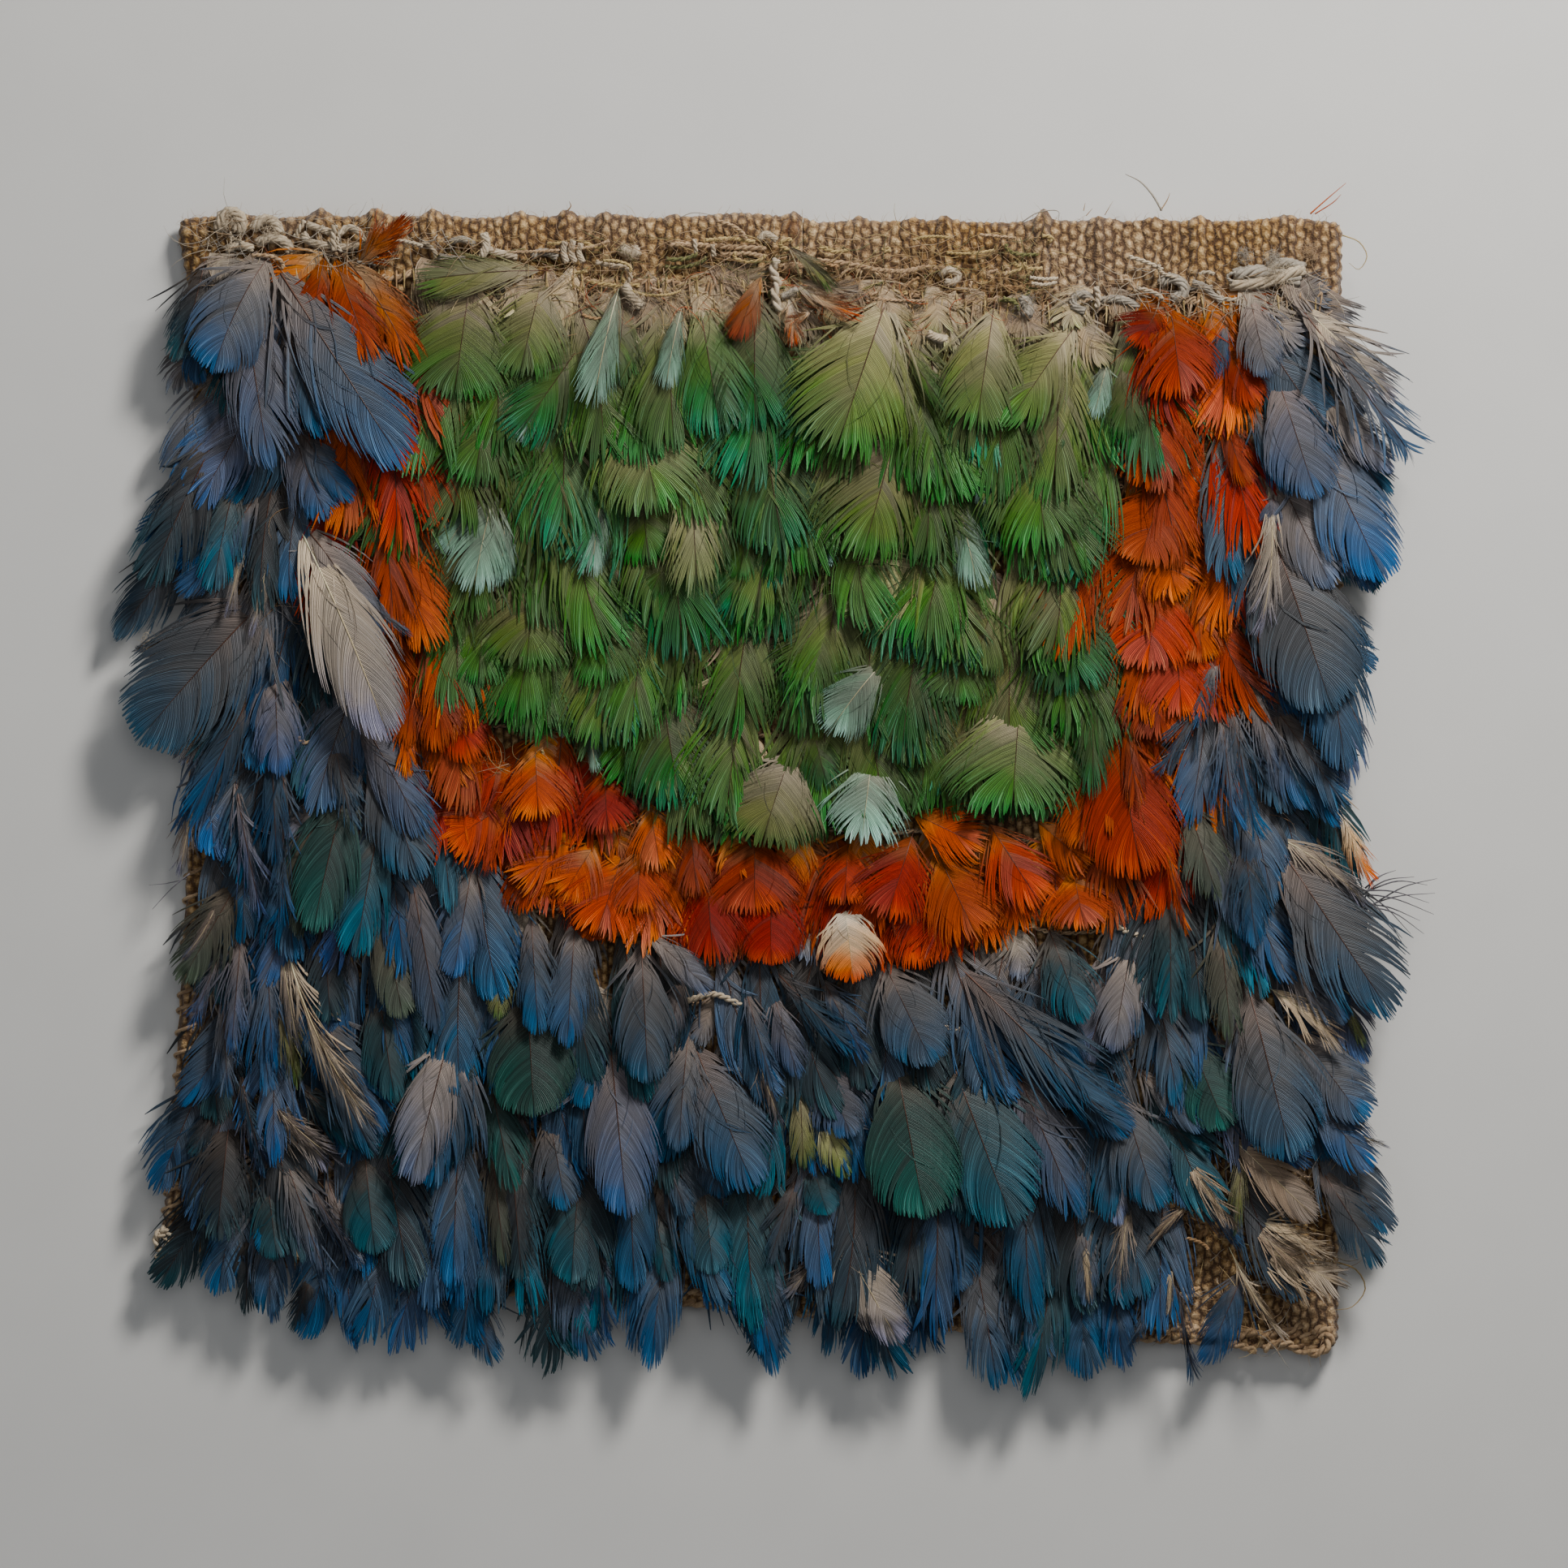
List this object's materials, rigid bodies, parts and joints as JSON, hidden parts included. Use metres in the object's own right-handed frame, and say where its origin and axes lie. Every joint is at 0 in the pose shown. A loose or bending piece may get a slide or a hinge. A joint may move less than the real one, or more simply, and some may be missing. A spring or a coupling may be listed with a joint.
{
  "type": "miniature feather tunic laid flat",
  "caption": "Small sleeveless cotton tunic laid flat, its front covered with overlapping rows of feather strings in blue, green and orange.",
  "frame": {"origin": "on the back panel's flat underside, near its middle, at the height of the surface that the tunic lies on", "axes": "+X across the tunic to the right as its front is seen, +Y up to the shoulder fold, +Z out of the front"},
  "size_m": [0.1792, 0.1617, 0.0095],
  "materials": {
    "cotton_cloth": "undyed handspun cotton in a coarse plain weave",
    "feather_blue": "blue parrot body feathers, grey towards the root, soft sheen",
    "feather_green": "green parrot body feathers, olive towards the root, soft sheen",
    "feather_orange": "orange parrot body feathers, soft sheen",
    "feather_red": "red-orange parrot body feathers, soft sheen"
  },
  "bodies": {
    "root": {"back_panel": "cotton_cloth", "front_panel": "cotton_cloth", "string_01_blue_left": "feather_blue", "string_01_orange_left": "feather_orange", "string_01_green_middle": "feather_green", "string_01_red_right": "feather_red", "string_01_blue_right": "feather_blue", "string_02_blue_left": "feather_blue", "string_02_orange_left": "feather_orange", "string_02_green_middle": "feather_green", "string_02_orange_right": "feather_orange", "string_02_blue_right": "feather_blue", "string_03_blue_left": "feather_blue", "string_03_orange_left": "feather_orange", "string_03_green_middle": "feather_green", "string_03_orange_right": "feather_orange", "string_03_blue_right": "feather_blue", "string_04_blue_left": "feather_blue", "string_04_orange_left": "feather_orange", "string_04_green_middle": "feather_green", "string_04_orange_right": "feather_orange", "string_04_blue_right": "feather_blue", "string_05_blue_left": "feather_blue", "string_05_orange_left": "feather_orange", "string_05_green_middle": "feather_green", "string_05_orange_right": "feather_orange", "string_05_blue_right": "feather_blue", "string_06_blue_left": "feather_blue", "string_06_red_left": "feather_red", "string_06_green_middle": "feather_green", "string_06_orange_right": "feather_orange", "string_06_blue_right": "feather_blue", "string_07_blue_left": "feather_blue", "string_07_red_middle": "feather_red", "string_07_blue_right": "feather_blue", "string_08_blue_whole": "feather_blue", "string_09_blue_whole": "feather_blue", "string_10_blue_whole": "feather_blue", "string_11_blue_whole": "feather_blue"}
  },
  "joints": []
}
